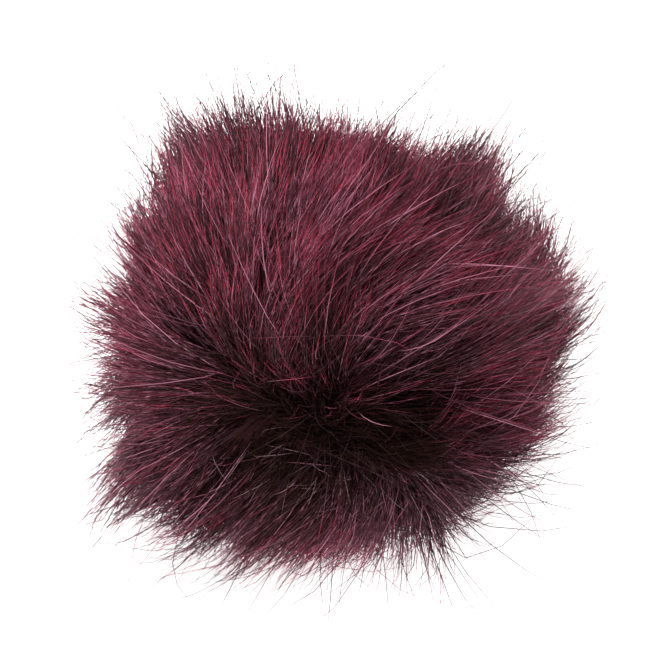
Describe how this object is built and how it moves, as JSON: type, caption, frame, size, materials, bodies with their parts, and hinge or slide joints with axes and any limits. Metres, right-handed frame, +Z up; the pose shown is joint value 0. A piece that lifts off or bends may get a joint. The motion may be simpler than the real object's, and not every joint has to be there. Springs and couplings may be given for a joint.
{
  "type": "long-pile fur pom pom",
  "caption": "Round long-pile faux-fur pom pom, a trimming for hats, bags and keyrings, lying on a flat surface.",
  "frame": {"origin": "on the surface that the pom pom lies on, under the middle of its bounding box", "axes": "+Z up; -Y is the front, where the parting of the pile shows; +X is the pom pom's right as seen from the front"},
  "size_m": [0.1321, 0.1302, 0.1111],
  "materials": {
    "fur": "long burgundy faux-fur pile with near-black roots and dark tips, softly shiny"
  },
  "bodies": {
    "root": {"fur_pom_pom": "fur"}
  },
  "joints": []
}
